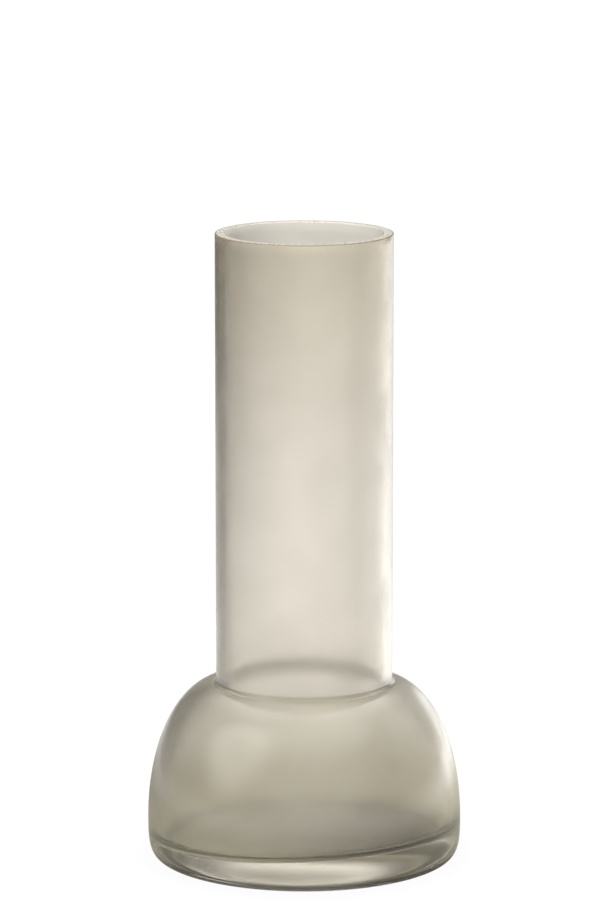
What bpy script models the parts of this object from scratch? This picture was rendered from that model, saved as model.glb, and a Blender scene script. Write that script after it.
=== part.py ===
"""Blown-glass vase: a straight cylinder neck on a wide, low bowl with a heavy solid base.

The glass is one continuous wall, and nothing on it moves. It is built here as the three gathers of
glass that it is shaped from: the drawn neck, the blown bowl and the thick base. Each is a turned
solid about the vertical axis, and a hairline gap stands for the hot-fused seam between two of them.
Metres, +Z up, with the origin at the centre of the plane that the vase stands on.
"""

from math import asin, atan2, cos, pi, sin

import bpy

# Driving dimensions
HEIGHT = 0.346
NECK_RADIUS = 0.0485
BOWL_RADIUS = 0.0863
SHOULDER_HEIGHT = 0.097  # where the bowl's dome would meet the neck without its fillet
WIDEST_HEIGHT = 0.021  # the ring on which the bowl is widest
STANDING_RADIUS = 0.078  # outer edge of the flat ring that it stands on
FLOOR_HEIGHT = 0.012  # top of the solid glass inside the bowl

# Glass thickness
NECK_WALL = 0.0053
SHOULDER_WALL = 0.0050
BOWL_WALL = 0.0070

# Small shapes
ROOT_FILLET = 0.0055  # outside, where the neck grows out of the shoulder
FLOOR_FILLET = 0.0092  # inside, where the wall turns into the floor
RIM_CHAMFER = 0.0004  # both edges of the ground rim
KICK_RADIUS = 0.066  # inner edge of the standing ring
KICK_DEPTH = 0.0020  # how far the underside is hollowed at its centre
FOOT_SQUARENESS = 3.1  # exponent of the rounded bottom corner: 2 is an ellipse, more is squarer

# Worked out from the dimensions above
BORE_RADIUS = NECK_RADIUS - NECK_WALL
CAVITY_RADIUS = BOWL_RADIUS - BOWL_WALL
CAVITY_TOP = SHOULDER_HEIGHT - SHOULDER_WALL
BORE_FILLET = NECK_WALL  # inside, where the bore opens into the bowl
BASE_SEAM = FLOOR_HEIGHT + FLOOR_FILLET

# How the solids are cut up
SEAM_GAP = 0.0003
TURN_STEPS = 72
DOME_STEPS = 11
FOOT_STEPS = 7
FILLET_STEPS = 4
KICK_STEPS = 5
MERGE_DISTANCE = 0.00001
HALVINGS = 40


def clear_scene():
    for thing in list(bpy.data.objects):
        bpy.data.objects.remove(thing, do_unlink=True)


def arc(centre, radius, start, end, steps):
    """Points (r, z) on a circular arc, with the angles counted from outward towards up."""
    r, z = centre
    turns = [start + (end - start) * i / steps for i in range(steps + 1)]
    return [(r + radius * cos(turn), z + radius * sin(turn)) for turn in turns]


def dome_point(angle, foot_radius, top_height):
    """A point on the quarter ellipse that runs from the widest ring up to the neck's own radius."""
    width = foot_radius - NECK_RADIUS
    rise = top_height - WIDEST_HEIGHT
    return NECK_RADIUS + width * cos(angle), WIDEST_HEIGHT + rise * sin(angle)


def dome_angle_at(height, top_height):
    """The angle at which dome_point reaches a height."""
    return asin((height - WIDEST_HEIGHT) / (top_height - WIDEST_HEIGHT))


def root_fillet():
    """(dome angle, arc centre, arc's lowest angle) of the fillet that touches the neck and the dome.

    The dome's angle is halved down to where a circle resting on the dome also touches the neck.
    """
    width = BOWL_RADIUS - NECK_RADIUS
    rise = SHOULDER_HEIGHT - WIDEST_HEIGHT
    low = 0.0
    high = pi / 2
    for _ in range(HALVINGS):
        angle = (low + high) / 2
        normal = atan2(sin(angle) / rise, cos(angle) / width)
        r, z = dome_point(angle, BOWL_RADIUS, SHOULDER_HEIGHT)
        if r + ROOT_FILLET * cos(normal) > NECK_RADIUS + ROOT_FILLET:
            low = angle
        else:
            high = angle
    centre = (NECK_RADIUS + ROOT_FILLET, z + ROOT_FILLET * sin(normal))
    return angle, centre, pi + normal


def foot_point(share):
    """A point on the rounded bottom corner: share 0 is the standing ring, 1 is the widest ring."""
    angle = share * pi / 2
    power = 2 / FOOT_SQUARENESS
    r = STANDING_RADIUS + (BOWL_RADIUS - STANDING_RADIUS) * sin(angle) ** power
    z = WIDEST_HEIGHT - WIDEST_HEIGHT * cos(angle) ** power
    return r, z


def kick_points():
    """The hollow underside, a shallow cap from the axis out to the standing ring."""
    shares = [i / KICK_STEPS for i in range(KICK_STEPS + 1)]
    return [(KICK_RADIUS * share, KICK_DEPTH * (1 - share**2)) for share in shares]


def turned(name, outline, closed, material):
    """The solid that an outline of (r, z) points sweeps out around the vertical axis."""
    points = [(r, 0.0, z) for r, z in outline]
    edges = [(i, i + 1) for i in range(len(points) - 1)]
    if closed:
        edges.append((len(points) - 1, 0))
    mesh = bpy.data.meshes.new(name)
    mesh.from_pydata(points, edges, [])
    mesh.materials.append(material)
    piece = bpy.data.objects.new(name, mesh)
    bpy.context.collection.objects.link(piece)
    screw = piece.modifiers.new("turn", "SCREW")
    screw.axis = "Z"
    screw.steps = TURN_STEPS
    screw.render_steps = TURN_STEPS
    screw.use_merge_vertices = True
    screw.merge_threshold = MERGE_DISTANCE
    screw.use_smooth_shade = True
    return piece


def glass(name, colour, roughness):
    material = bpy.data.materials.new(name)
    material.use_nodes = True
    shader = material.node_tree.nodes["Principled BSDF"]
    shader.inputs["Base Color"].default_value = (*colour, 1.0)
    shader.inputs["Roughness"].default_value = roughness
    shader.inputs["Metallic"].default_value = 0.0
    shader.inputs["IOR"].default_value = 1.5
    shader.inputs["Transmission Weight"].default_value = 1.0
    return material


def build_neck(root_height, material):
    """The straight tube with its flat ground rim."""
    foot = root_height + SEAM_GAP / 2
    outline = [
        (BORE_RADIUS, foot),
        (BORE_RADIUS, HEIGHT - RIM_CHAMFER),
        (BORE_RADIUS + RIM_CHAMFER, HEIGHT),
        (NECK_RADIUS - RIM_CHAMFER, HEIGHT),
        (NECK_RADIUS, HEIGHT - RIM_CHAMFER),
        (NECK_RADIUS, foot),
    ]
    return turned("glass_neck", outline, True, material)


def build_bowl(fillet, material):
    """The domed shell, from its fillet at the neck's root down to the seam over the base."""
    fillet_dome_angle, fillet_centre, fillet_low = fillet
    top = fillet_centre[1] - SEAM_GAP / 2
    foot = BASE_SEAM + SEAM_GAP / 2
    foot_angle = dome_angle_at(foot, SHOULDER_HEIGHT)
    cavity_foot_angle = dome_angle_at(foot, CAVITY_TOP)
    outline = [(NECK_RADIUS, top)]
    outline += arc(fillet_centre, ROOT_FILLET, pi, fillet_low, FILLET_STEPS)[1:]
    for i in range(1, DOME_STEPS + 1):
        angle = fillet_dome_angle + (foot_angle - fillet_dome_angle) * i / DOME_STEPS
        outline.append(dome_point(angle, BOWL_RADIUS, SHOULDER_HEIGHT))
    for i in range(DOME_STEPS):
        angle = cavity_foot_angle + (pi / 2 - cavity_foot_angle) * i / DOME_STEPS
        outline.append(dome_point(angle, CAVITY_RADIUS, CAVITY_TOP))
    bore_centre = (BORE_RADIUS + BORE_FILLET, CAVITY_TOP + BORE_FILLET)
    outline += arc(bore_centre, BORE_FILLET, 1.5 * pi, pi, FILLET_STEPS)
    outline.append((BORE_RADIUS, top))
    return turned("glass_bowl", outline, True, material)


def build_base(material):
    """The heavy bottom: solid under the floor, with the rounded foot outside and a dish inside."""
    top = BASE_SEAM - SEAM_GAP / 2
    wall = dome_point(dome_angle_at(top, CAVITY_TOP), CAVITY_RADIUS, CAVITY_TOP)[0]
    floor_centre = (wall - FLOOR_FILLET, FLOOR_HEIGHT + FLOOR_FILLET - SEAM_GAP / 2)
    outline = [(0.0, FLOOR_HEIGHT)]
    outline += arc(floor_centre, FLOOR_FILLET, 1.5 * pi, 2 * pi, FILLET_STEPS + 1)
    outline.append(dome_point(dome_angle_at(top, SHOULDER_HEIGHT), BOWL_RADIUS, SHOULDER_HEIGHT))
    outline += [foot_point(1 - i / FOOT_STEPS) for i in range(FOOT_STEPS + 1)]
    outline += reversed(kick_points())
    return turned("glass_base", outline, False, material)


def main():
    clear_scene()
    satin = glass("smoky satin glass", (0.56, 0.52, 0.44), 0.30)
    clear = glass("smoky clear glass", (0.62, 0.59, 0.50), 0.10)
    fillet = root_fillet()
    root_height = fillet[1][1]
    build_neck(root_height, satin)
    build_bowl(fillet, satin)
    build_base(clear)


main()
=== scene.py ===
"""The looks of the glass vase: one continuous hand-blown wall of smoky, satin-finished glass.

The CAD frame splits the glass at two seams. Here one closed mesh stands for all three nodes, because
the real glass has no seam. Its outline is worked out from the frame's boxes and the dimensions below.
Everything is in metres, +Z up, with the vase standing on z = 0.
"""

from math import asin, atan2, cos, pi, radians, sin

import bpy
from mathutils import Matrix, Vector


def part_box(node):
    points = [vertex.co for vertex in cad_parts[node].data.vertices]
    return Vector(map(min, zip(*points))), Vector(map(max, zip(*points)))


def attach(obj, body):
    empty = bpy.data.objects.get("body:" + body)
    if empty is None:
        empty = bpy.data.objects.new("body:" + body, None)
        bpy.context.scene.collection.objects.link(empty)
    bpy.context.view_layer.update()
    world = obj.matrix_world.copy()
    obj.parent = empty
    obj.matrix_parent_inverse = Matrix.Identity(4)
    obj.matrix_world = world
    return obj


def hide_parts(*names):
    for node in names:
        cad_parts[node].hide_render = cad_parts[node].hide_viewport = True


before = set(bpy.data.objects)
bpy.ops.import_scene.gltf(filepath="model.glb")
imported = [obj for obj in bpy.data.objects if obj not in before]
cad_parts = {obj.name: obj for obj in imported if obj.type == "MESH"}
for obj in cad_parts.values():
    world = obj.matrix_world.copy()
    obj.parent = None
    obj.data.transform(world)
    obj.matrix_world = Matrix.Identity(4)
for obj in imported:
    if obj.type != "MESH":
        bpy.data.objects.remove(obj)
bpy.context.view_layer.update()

# The frame gives the outer sizes
NECK_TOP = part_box("glass_neck")[1]
BASE_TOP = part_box("glass_base")[1]
HEIGHT = NECK_TOP.z
NECK_RADIUS = NECK_TOP.x
BOWL_RADIUS = BASE_TOP.x

# Outline of the outside
SHOULDER_HEIGHT = 0.097
WIDEST_HEIGHT = 0.021
STANDING_RADIUS = 0.078
FOOT_SQUARENESS = 3.1
ROOT_FILLET = 0.0030
KICK_RADIUS = 0.066
KICK_DEPTH = 0.0020
RIM_BEVEL = 0.0005
CLEAR_TOP = 0.018  # up to here the foot is clear and glossy
SATIN_START = 0.040  # from here up the glass is satin

# Outline of the inside
NECK_WALL = 0.0053
BOWL_WALL = 0.0070
SHOULDER_WALL = 0.0040
BORE_FILLET = 0.0034
FLOOR_HEIGHT = 0.012
FLOOR_FILLET = 0.0080

# How the hand-worked inside strays from a true turned shape
FLOOR_TILT = (0.045, 0.045)  # rise of the floor per metre towards +X and towards -Y
TILT_REACH = 0.030  # the tilt dies out over this height above the floor
# Each wave of the wall: lobes around, radians per metre of height, phase, depth
WAVES = (
    (2, 11.0, 0.4, 0.00008),
    (3, -17.0, 2.1, 0.00005),
    (5, 23.0, 4.4, 0.00002),
)

# How finely the mesh is cut up
AROUND = 192
STRAIGHT_ROWS = 44
DOME_ROWS = 56
CORNER_ROWS = 26
FILLET_ROWS = 12
FLAT_ROWS = 14
BEVEL_ROWS = 4
HALVINGS = 40
SAME_POINT = 1e-7

# Zones of the surface, which are the mesh's material slots
OUTSIDE, RIM, INSIDE, UNDERSIDE = range(4)

# The camera
CAMERA_DISTANCE = 2.515
CAMERA_HEIGHT = 0.7046
CAMERA_PITCH = 0.1879
CAMERA_YAW = 0.00092
CAMERA_LENS = 187.8

# Soft lights of the studio: degrees to the right of straight behind the vase, degrees above the
# horizon, half width of the full light, half width where it ends, colour
SOFT_LIGHTS = (
    ("backdrop", 0.0, 6.0, 9.0, 20.0, (0.30, 0.29, 0.27)),
    ("right strip", 25.0, 1.0, 6.0, 15.0, (1.75, 1.77, 1.72)),
    ("rear panel", 5.0, 46.0, 14.0, 25.0, (0.75, 0.76, 0.72)),
    ("rear overhead", 0.0, 64.0, 18.0, 42.0, (1.40, 1.40, 1.33)),
    ("overhead", 180.0, 72.0, 24.0, 50.0, (1.10, 1.08, 1.02)),
    ("left front", -116.0, 32.0, 8.0, 32.0, (2.60, 2.56, 2.44)),
    ("front", 172.0, 34.0, 24.0, 58.0, (1.00, 0.98, 0.93)),
)
ROOM = (0.085, 0.08, 0.065)  # the weak light from everywhere else
BEHIND = (1.1, 1.1, 1.1)  # what the camera itself sees behind the vase

# Glass
TINT = (0.85, 0.80, 0.72)  # what two crossings of the tinted outside let through
RIM_END_TINT = (0.75, 0.69, 0.57)  # the same at the top of the neck, which is darker and browner
TINT_TURNS = 0.20  # the glass starts to get darker and browner from this height up
CLEAR = (0.97, 0.97, 0.95)
CLEAREST = (1.0, 1.0, 0.985)
SCUFFED = (0.88, 0.88, 0.85)
RIM_TINT = (0.93, 0.90, 0.83)
WORN_TINT = (0.93, 0.92, 0.89)
COAT_TINT = (0.34, 0.28, 0.19)
COAT_EDGE = 0.0010  # width of the line along the rim's outer edge where the coat gathers
WORN_EDGE = 0.0012  # width of the worn line along the rim's inner edge
CORNER_SHADE = 0.13  # painted shade: how much of the tint's light the rounded bottom corner keeps
CORNER_FULL = 0.0028  # full shade up to here
CORNER_TOP = 0.0062  # and no shade from here up
SATIN_ROUGHNESS = 0.18
SATIN_CLEARNESS = 0.88
FOOT_CLEARNESS = 0.97
RIM_CLEARNESS = 0.45
FOOT_ROUGHNESS = 0.05
INSIDE_ROUGHNESS = 0.20
IOR = 1.5

# The floor, as the glass sees it
FLOOR_RADIUS = 3.0
FLOOR_CORNERS = 96
FLOOR_DROP = 0.0005  # the floor lies this far below the standing ring
UNDER_LEFT = (0.32, 0.31, 0.22)  # under the left side of the vase
UNDER_RIGHT = (0.035, 0.03, 0.02)  # under its right side, away from the light
UNDER_REACH = 0.06  # how far to either side the light changes under the vase
NEAR_LIGHT = (0.44, 0.43, 0.34)  # around its foot
NEAR_START = STANDING_RADIUS
NEAR_FULL = 0.092
FAR_LIGHT = (1.12, 1.11, 1.10)  # across the room
FAR_START = 0.20
FAR_FULL = 0.55

# Flags and cards beside the floor: degrees to the right of straight behind, half width of the full
# effect, half width where it ends, radius where it starts, radius where it is full, gain
FLOOR_CARDS = (
    ("left flag", -32.0, 8.0, 34.0, 0.35, 0.90, -0.46),
    ("far left flag", -21.0, 8.0, 26.0, 1.00, 2.00, -0.42),
    ("left side flag", -75.0, 14.0, 44.0, 0.20, 0.65, -0.32),
    ("near left flag", -60.0, 18.0, 46.0, 0.10, 0.20, -0.20),
    ("strip", 9.0, 2.5, 8.0, 0.50, 1.20, -0.20),
    ("right card", 42.0, 8.0, 26.0, 0.15, 0.45, 0.55),
    ("far right flag", 42.0, 8.0, 30.0, 0.45, 1.00, -0.52),
    ("right side flag", 85.0, 20.0, 50.0, 0.20, 0.65, -0.42),
    ("near right card", 60.0, 18.0, 46.0, 0.10, 0.20, 0.60),
)

# The floor, as the camera sees it
SHADOW_RADIUS = 0.12
SHADOW_SHADE = 0.97  # brightness right at the foot
WHITE = 1.05


def steps(count):
    return [i / count for i in range(count + 1)]


def arc(centre, radius, start, end, count):
    r, z = centre
    turns = [start + (end - start) * s for s in steps(count)]
    return [(r + radius * cos(turn), z + radius * sin(turn)) for turn in turns]


def line(start, end, count):
    r, z = start
    out = end[0] - r
    up = end[1] - z
    return [(r + out * s, z + up * s) for s in steps(count)]


def dome_point(angle, top_radius, foot_radius, top_height):
    """A point on the quarter ellipse from the widest ring (angle 0) up to a radius at the top."""
    width = foot_radius - top_radius
    rise = top_height - WIDEST_HEIGHT
    return top_radius + width * cos(angle), WIDEST_HEIGHT + rise * sin(angle)


def dome_fillet(top_radius, foot_radius, top_height, radius):
    """(dome angle, arc centre, arc's lowest angle) of a fillet that touches a dome and the tube on it.

    The dome's angle is halved down to where a circle resting on the dome also touches the tube.
    """
    width = foot_radius - top_radius
    rise = top_height - WIDEST_HEIGHT
    low = 0.0
    high = pi / 2
    for _ in range(HALVINGS):
        angle = (low + high) / 2
        normal = atan2(sin(angle) / rise, cos(angle) / width)
        r, z = dome_point(angle, top_radius, foot_radius, top_height)
        if r + radius * cos(normal) > top_radius + radius:
            low = angle
        else:
            high = angle
    return angle, (top_radius + radius, z + radius * sin(normal)), pi + normal


def foot_point(share):
    """A point on the squarish curve from the standing ring (share 0) up to the widest ring."""
    angle = share * pi / 2
    power = 2 / FOOT_SQUARENESS
    r = STANDING_RADIUS + (BOWL_RADIUS - STANDING_RADIUS) * sin(angle) ** power
    return r, WIDEST_HEIGHT - WIDEST_HEIGHT * cos(angle) ** power


def dome(start, end, *shape):
    return [dome_point(start + (end - start) * s, *shape) for s in steps(DOME_ROWS)]


def outside_strips():
    """The outside from the underside's centre up to the rim, as (zone, points)."""
    shell = (NECK_RADIUS, BOWL_RADIUS, SHOULDER_HEIGHT)
    angle, centre, low_turn = dome_fillet(*shell, ROOT_FILLET)
    neck_foot = (NECK_RADIUS, centre[1])
    return [
        (UNDERSIDE, [(KICK_RADIUS * s, KICK_DEPTH * (1 - s**2)) for s in steps(FLAT_ROWS)]),
        (UNDERSIDE, line((KICK_RADIUS, 0.0), (STANDING_RADIUS, 0.0), BEVEL_ROWS)),
        (OUTSIDE, [foot_point(s) for s in steps(CORNER_ROWS)]),
        (OUTSIDE, dome(0.0, angle, *shell)),
        (OUTSIDE, arc(centre, ROOT_FILLET, low_turn, pi, FILLET_ROWS)),
        (OUTSIDE, line(neck_foot, (NECK_RADIUS, HEIGHT - RIM_BEVEL), STRAIGHT_ROWS)),
    ]


def rim_strips():
    top = HEIGHT - RIM_BEVEL
    outer = (NECK_RADIUS - RIM_BEVEL, top)
    inner = (NECK_RADIUS - NECK_WALL + RIM_BEVEL, top)
    return [
        (RIM, arc(outer, RIM_BEVEL, 0.0, pi / 2, BEVEL_ROWS)),
        (RIM, line((outer[0], HEIGHT), (inner[0], HEIGHT), BEVEL_ROWS)),
        (RIM, arc(inner, RIM_BEVEL, pi / 2, pi, BEVEL_ROWS)),
    ]


def inside_strips():
    """The inside from the rim down to the floor's centre."""
    bore = NECK_RADIUS - NECK_WALL
    cavity = BOWL_RADIUS - BOWL_WALL
    shell = (bore, cavity, SHOULDER_HEIGHT - SHOULDER_WALL)
    angle, centre, low_turn = dome_fillet(*shell, BORE_FILLET)
    fillet_top = FLOOR_HEIGHT + FLOOR_FILLET
    low_angle = asin((fillet_top - WIDEST_HEIGHT) / (shell[2] - WIDEST_HEIGHT))
    floor_radius = dome_point(low_angle, *shell)[0] - FLOOR_FILLET
    return [
        (INSIDE, line((bore, HEIGHT - RIM_BEVEL), (bore, centre[1]), STRAIGHT_ROWS)),
        (INSIDE, arc(centre, BORE_FILLET, pi, low_turn, FILLET_ROWS)),
        (INSIDE, dome(angle, low_angle, *shell)),
        (INSIDE, arc((floor_radius, fillet_top), FLOOR_FILLET, 0.0, -pi / 2, FILLET_ROWS)),
        (INSIDE, line((floor_radius, FLOOR_HEIGHT), (0.0, FLOOR_HEIGHT), FLAT_ROWS)),
    ]


def outline():
    """The glass's whole outline as (r, z, zone of the strip of glass that follows the point)."""
    rows = []
    for zone, points in outside_strips() + rim_strips() + inside_strips():
        first = points[0]
        if rows and abs(rows[-1][0] - first[0]) + abs(rows[-1][1] - first[1]) < SAME_POINT:
            rows.pop()
        rows.extend((r, z, zone) for r, z in points)
    return rows


def smooth(share):
    """An even change from 0 to 1."""
    share = min(1.0, max(0.0, share))
    return share * share * (3 - 2 * share)


def handmade(r, z, turn, zone):
    """How far the hand-worked inside strays from the true turned shape, as (dr, dz)."""
    if zone != INSIDE:
        return 0.0, 0.0
    near_floor = smooth(1 - (z - FLOOR_HEIGHT) / TILT_REACH)
    dz = near_floor * r * (FLOOR_TILT[0] * cos(turn) - FLOOR_TILT[1] * sin(turn))
    fade = smooth((HEIGHT - z) / 0.02) * smooth(r / NECK_RADIUS) * (1 - near_floor)
    dr = sum(depth * cos(lobes * turn + climb * z + phase) for lobes, climb, phase, depth in WAVES)
    return fade * dr, dz


def turned(name, rows):
    """The closed mesh that an outline sweeps out, with a single point wherever it is on the axis."""
    verts = []
    rings = []
    for r, z, zone in rows:
        count = AROUND if r > SAME_POINT else 1
        rings.append(list(range(len(verts), len(verts) + count)))
        for i in range(count):
            turn = 2 * pi * i / AROUND
            dr, dz = handmade(r, z, turn, zone)
            verts.append(((r + dr) * cos(turn), (r + dr) * sin(turn), z + dz))
    faces = []
    zones = []
    for lower, upper, row in zip(rings, rings[1:], rows):
        for i in range(AROUND):
            j = (i + 1) % AROUND
            if len(lower) == 1:
                faces.append((lower[0], upper[j], upper[i]))
            elif len(upper) == 1:
                faces.append((lower[i], lower[j], upper[0]))
            else:
                faces.append((lower[i], lower[j], upper[j], upper[i]))
            zones.append(row[2])
    mesh = bpy.data.meshes.new(name)
    mesh.from_pydata(verts, [], faces)
    mesh.polygons.foreach_set("material_index", zones)
    mesh.shade_smooth()
    piece = bpy.data.objects.new(name, mesh)
    bpy.context.scene.collection.objects.link(piece)
    return piece


class Nodes:
    """A short way to write a node tree."""

    def __init__(self, tree):
        self.tree = tree
        tree.nodes.clear()

    def add(self, kind, settings=None, inputs=None):
        node = self.tree.nodes.new(kind)
        for name, value in (settings or {}).items():
            setattr(node, name, value)
        for name, value in (inputs or {}).items():
            self.set(node, name, value)
        return node

    def set(self, node, name, value):
        if isinstance(value, bpy.types.NodeSocket):
            self.tree.links.new(value, node.inputs[name])
        else:
            node.inputs[name].default_value = value

    def math(self, operation, *values):
        node = self.add("ShaderNodeMath", {"operation": operation}, dict(enumerate(values)))
        return node.outputs[0]

    def vector(self, operation, *values):
        node = self.add("ShaderNodeVectorMath", {"operation": operation}, dict(enumerate(values)))
        return node.outputs["Value" if operation in ("DOT_PRODUCT", "LENGTH") else "Vector"]

    def scaled(self, vector, factor):
        node = self.add("ShaderNodeVectorMath", {"operation": "SCALE"}, {0: vector, "Scale": factor})
        return node.outputs["Vector"]

    def fade(self, value, low, high, to_low, to_high):
        """to_low up to low, to_high beyond high, and a smooth change in between."""
        node = self.add("ShaderNodeMapRange", {"interpolation_type": "SMOOTHSTEP"}, {
            "Value": value, "From Min": low, "From Max": high, "To Min": to_low, "To Max": to_high})
        return node.outputs[0]

    def mix(self, factor, first, second):
        """The colour between two colours."""
        node = self.add("ShaderNodeMix", {"data_type": "RGBA"}, {0: factor, 6: first, 7: second})
        return node.outputs[2]

    def noise(self, place, stretch, scale, detail):
        """A noise value near 0.5, with the place stretched first."""
        spread = self.vector("MULTIPLY", place, stretch)
        node = self.add("ShaderNodeTexNoise", inputs={"Vector": spread, "Scale": scale, "Detail": detail})
        return node.outputs[0]

    def bump(self, height, distance, below=None):
        inputs = {"Height": height, "Distance": distance, "Strength": 1.0}
        if below is not None:
            inputs["Normal"] = below
        return self.add("ShaderNodeBump", inputs=inputs).outputs[0]

    def finish(self, kind, surface):
        output = self.add(kind)
        self.tree.links.new(surface, output.inputs["Surface"])


def colour(rgb):
    return (*rgb, 1.0)


def glass_material(name, build):
    """A glass material whose colour, roughness, normal and clearness come from a build function."""
    material = bpy.data.materials.new(name)
    material.use_nodes = True
    nodes = Nodes(material.node_tree)
    place = nodes.add("ShaderNodeTexCoord").outputs["Object"]
    tint, roughness, normal, clearness = build(nodes, place)
    shader = nodes.add("ShaderNodeBsdfPrincipled", inputs={
        "Base Color": tint, "Roughness": roughness, "Normal": normal, "IOR": IOR,
        "Transmission Weight": clearness})
    nodes.finish("ShaderNodeOutputMaterial", shader.outputs[0])
    return material


def across_axis(nodes, place):
    """The distance from the vase's axis."""
    return nodes.vector("LENGTH", nodes.vector("MULTIPLY", place, (1.0, 1.0, 0.0)))


def satin_outside(nodes, place):
    """Smoky satin coat: darker and browner towards the rim, glossier at the foot, with faint clouds and
    streaks, and painted shade darkening the rounded bottom corner.
    """
    height = nodes.add("ShaderNodeSeparateXYZ", inputs={0: place}).outputs["Z"]
    # the outside's tint turns darker and browner from TINT_TURNS up to the rim
    rim_darkening = nodes.fade(height, TINT_TURNS, HEIGHT, 0.0, 1.0)
    tint = nodes.mix(rim_darkening, colour(TINT), colour(RIM_END_TINT))
    clouds = nodes.noise(place, (1.0, 1.0, 0.6), 18.0, 2.0)
    streaks = nodes.noise(place, (1.0, 1.0, 0.07), 130.0, 2.0)
    uneven = nodes.math("MULTIPLY", nodes.fade(clouds, 0.3, 0.7, 0.955, 1.0),
                        nodes.fade(streaks, 0.3, 0.7, 0.98, 1.0))
    # painted shade: the tint is darkened towards the rounded bottom corner
    corner_painted_shade = nodes.fade(height, CORNER_FULL, CORNER_TOP, CORNER_SHADE, 1.0)
    tint = nodes.scaled(tint, nodes.math("MULTIPLY", uneven, corner_painted_shade))
    satin = nodes.fade(height, CLEAR_TOP, SATIN_START, FOOT_ROUGHNESS, SATIN_ROUGHNESS)
    mottle = nodes.noise(place, (1.0, 1.0, 1.0), 60.0, 3.0)
    roughness = nodes.math("ADD", satin, nodes.fade(mottle, 0.3, 0.7, -0.02, 0.02))
    grain = nodes.noise(place, (1.0, 1.0, 1.0), 2600.0, 1.0)
    ripple = nodes.noise(place, (1.0, 1.0, 0.5), 26.0, 1.0)
    normal = nodes.bump(grain, 0.000004, nodes.bump(ripple, 0.00010))
    clearness = nodes.fade(height, CLEAR_TOP, SATIN_START, FOOT_CLEARNESS, SATIN_CLEARNESS)
    return tint, roughness, normal, clearness


def ground_rim(nodes, place):
    """Flat ground ring: pale, with fine wheel rings, and the smoky coat gathered at its outer edge."""
    radius = across_axis(nodes, place)
    bore = NECK_RADIUS - NECK_WALL
    coat = nodes.fade(radius, NECK_RADIUS - COAT_EDGE, NECK_RADIUS - COAT_EDGE / 2, 0.0, 1.0)
    worn = nodes.fade(radius, bore + WORN_EDGE / 3, bore + WORN_EDGE, 1.0, 0.0)
    speckle = nodes.noise(place, (1.0, 1.0, 1.0), 900.0, 2.0)
    ground = nodes.mix(worn, colour(RIM_TINT), colour(WORN_TINT))
    speckled = nodes.scaled(ground, nodes.fade(speckle, 0.3, 0.7, 0.95, 1.0))
    tint = nodes.mix(coat, speckled, colour(COAT_TINT))
    rings = nodes.add("ShaderNodeTexNoise", {"noise_dimensions": "1D"}, {"W": radius, "Scale": 5200.0})
    roughness = nodes.fade(speckle, 0.3, 0.7, 0.24, 0.34)
    return tint, roughness, nodes.bump(rings.outputs[0], 0.000006), RIM_CLEARNESS


def inner_glass(nodes, place):
    """Clear inside with a light haze and the slow waves of blown glass."""
    waves = nodes.noise(place, (1.0, 1.0, 0.4), 34.0, 1.0)
    haze = nodes.noise(place, (1.0, 1.0, 1.0), 45.0, 2.0)
    tint = nodes.mix(haze, colour(CLEAREST), colour(CLEAR))
    roughness = nodes.fade(haze, 0.3, 0.7, INSIDE_ROUGHNESS * 0.7, INSIDE_ROUGHNESS * 1.3)
    return tint, roughness, nodes.bump(waves, 0.00006), 1.0


def underside(nodes, place):
    """Hollowed glossy middle inside a standing ring that is scuffed by tables."""
    radius = across_axis(nodes, place)
    ring = nodes.fade(radius, KICK_RADIUS - 0.001, KICK_RADIUS + 0.001, 0.0, 1.0)
    scuffs = nodes.noise(place, (1.0, 0.12, 1.0), 1400.0, 2.0)
    scuffed = nodes.math("MULTIPLY", ring, nodes.fade(scuffs, 0.45, 0.65, 0.0, 1.0))
    tint = nodes.mix(scuffed, colour(CLEAR), colour(SCUFFED))
    worn = nodes.fade(ring, 0.0, 1.0, 0.07, 0.16)
    roughness = nodes.math("ADD", worn, nodes.math("MULTIPLY", scuffed, 0.2))
    return tint, roughness, nodes.bump(scuffed, 0.00001), FOOT_CLEARNESS


def studio_axes(nodes):
    """The camera's right and its level forward direction, so that the studio turns with the camera."""
    right = nodes.add("ShaderNodeVectorTransform",
                      {"vector_type": "VECTOR", "convert_from": "CAMERA", "convert_to": "WORLD"},
                      {0: (1.0, 0.0, 0.0)}).outputs[0]
    return right, nodes.vector("CROSS_PRODUCT", (0.0, 0.0, 1.0), right)


def in_studio(nodes, vector):
    """A world vector as (right, away from the camera, up)."""
    right, away = studio_axes(nodes)
    up = nodes.add("ShaderNodeSeparateXYZ", inputs={0: vector}).outputs["Z"]
    across = nodes.vector("DOT_PRODUCT", vector, right)
    depth = nodes.vector("DOT_PRODUCT", vector, away)
    return nodes.add("ShaderNodeCombineXYZ", inputs={"X": across, "Y": depth, "Z": up}).outputs[0]


def heading(right, up):
    """The unit vector that points some degrees right of straight behind and some degrees up."""
    a = radians(right)
    e = radians(up)
    return sin(a) * cos(e), cos(a) * cos(e), sin(e)


def light_rig():
    """A node group that gives the studio's light from the direction that a ray looks in."""
    group = bpy.data.node_groups.new("studio light", "ShaderNodeTree")
    group.interface.new_socket("Light", in_out="OUTPUT", socket_type="NodeSocketColor")
    nodes = Nodes(group)
    incoming = nodes.add("ShaderNodeNewGeometry").outputs["Incoming"]
    look = in_studio(nodes, nodes.scaled(incoming, -1.0))
    total = ROOM
    for name, right, up, inner, outer, shine in SOFT_LIGHTS:
        aim = nodes.vector("DOT_PRODUCT", look, heading(right, up))
        share = nodes.fade(aim, cos(radians(outer)), cos(radians(inner)), 0.0, 1.0)
        light = nodes.scaled(shine, share)
        light.node.label = name
        total = nodes.vector("ADD", total, light)
    end = nodes.add("NodeGroupOutput")
    group.links.new(total, end.inputs[0])
    return group


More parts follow.
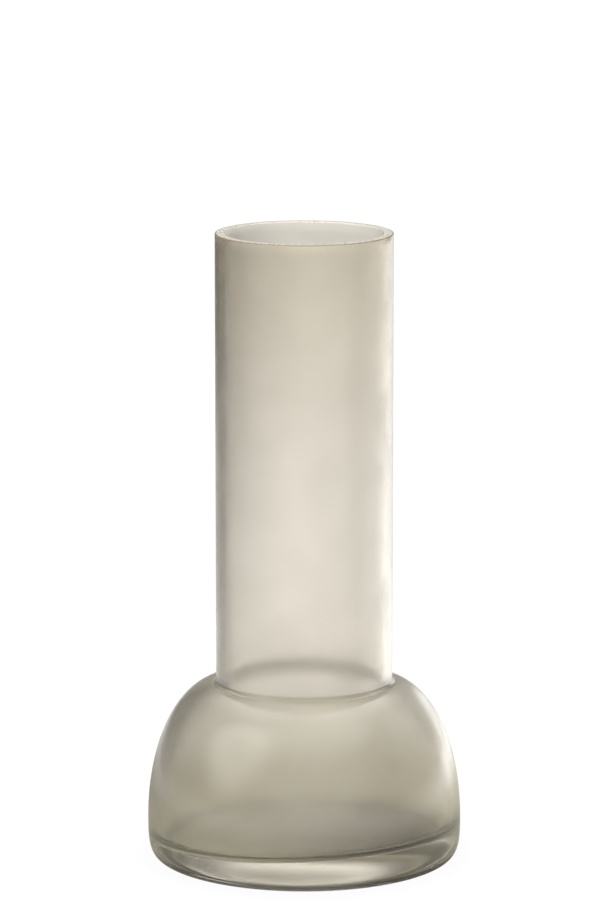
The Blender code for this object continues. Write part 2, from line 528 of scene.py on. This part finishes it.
def build_world(rig):
    """White to the camera, and the studio's lights to the glass."""
    world = bpy.data.worlds.new("studio")
    bpy.context.scene.world = world
    world.use_nodes = True
    nodes = Nodes(world.node_tree)
    seen = nodes.add("ShaderNodeLightPath").outputs["Is Camera Ray"]
    light = nodes.add("ShaderNodeGroup", {"node_tree": rig}).outputs[0]
    background = nodes.add("ShaderNodeBackground", inputs={
        "Color": nodes.mix(seen, light, colour(BEHIND))})
    nodes.finish("ShaderNodeOutputWorld", background.outputs[0])


def floor_glow(nodes, place, distance):
    """The floor's light before the flags and cards: under the vase, around its foot and far away."""
    across = nodes.add("ShaderNodeSeparateXYZ", inputs={0: place}).outputs["X"]
    rightwards = nodes.fade(across, -UNDER_REACH, UNDER_REACH, 0.0, 1.0)
    under = nodes.mix(rightwards, colour(UNDER_LEFT), colour(UNDER_RIGHT))
    near = nodes.fade(distance, NEAR_START, NEAR_FULL, 0.0, 1.0)
    far = nodes.fade(distance, FAR_START, FAR_FULL, 0.0, 1.0)
    return nodes.mix(far, nodes.mix(near, under, colour(NEAR_LIGHT)), colour(FAR_LIGHT))


def card_gain(nodes, place, distance):
    """What the flags take from the floor's light and the cards add to it."""
    towards = nodes.vector("NORMALIZE", place)
    gain = 1.0
    for name, right, inner, outer, start, full, change in FLOOR_CARDS:
        side = nodes.vector("DOT_PRODUCT", towards, heading(right, 0.0))
        card = nodes.fade(side, cos(radians(outer)), cos(radians(inner)), 0.0, change)
        card.node.label = name
        reach = nodes.fade(distance, start, full, 0.0, 1.0)
        gain = nodes.math("ADD", gain, nodes.math("MULTIPLY", card, reach))
    return gain


def pale_floor():
    """White with a faint contact shadow to the camera, and the studio's softer light to the glass."""
    material = bpy.data.materials.new("pale floor")
    material.use_nodes = True
    nodes = Nodes(material.node_tree)
    seen = nodes.add("ShaderNodeLightPath").outputs["Is Camera Ray"]
    place = in_studio(nodes, nodes.add("ShaderNodeNewGeometry").outputs["Position"])
    distance = nodes.vector("LENGTH", place)
    light = nodes.scaled(floor_glow(nodes, place, distance), card_gain(nodes, place, distance))
    shadow = nodes.fade(distance, STANDING_RADIUS, SHADOW_RADIUS, SHADOW_SHADE, WHITE)
    white = nodes.scaled((1.0, 1.0, 1.0), shadow)
    glow = nodes.add("ShaderNodeEmission", inputs={"Color": nodes.mix(seen, light, white)})
    nodes.finish("ShaderNodeOutputMaterial", glow.outputs[0])
    return material


def build_floor():
    bpy.ops.mesh.primitive_circle_add(vertices=FLOOR_CORNERS, radius=FLOOR_RADIUS, fill_type="NGON",
                                      location=(0, 0, -FLOOR_DROP))
    floor = bpy.context.object
    floor.name = "floor"
    floor.data.materials.append(pale_floor())


def build_camera():
    data = bpy.data.cameras.new("camera")
    data.lens = CAMERA_LENS
    camera = bpy.data.objects.new("camera", data)
    camera.location = (0.0, -CAMERA_DISTANCE, CAMERA_HEIGHT)
    camera.rotation_euler = (pi / 2 - CAMERA_PITCH, 0.0, CAMERA_YAW)
    bpy.context.scene.collection.objects.link(camera)
    bpy.context.scene.camera = camera


def build_vase():
    vase = turned("glass_vase", outline())
    for name, build in (("satin glass", satin_outside), ("ground rim", ground_rim),
                        ("inner glass", inner_glass), ("underside", underside)):
        vase.data.materials.append(glass_material(name, build))
    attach(vase, "root")
    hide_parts("glass_neck", "glass_bowl", "glass_base")


def set_up_cycles():
    """Enough bounces for light that crosses the glass many times."""
    bpy.context.scene.view_settings.view_transform = "Standard"
    cycles = bpy.context.scene.cycles
    cycles.max_bounces = 24
    cycles.transmission_bounces = 24
    cycles.glossy_bounces = 12


build_vase()
build_world(light_rig())
build_floor()
build_camera()
set_up_cycles()
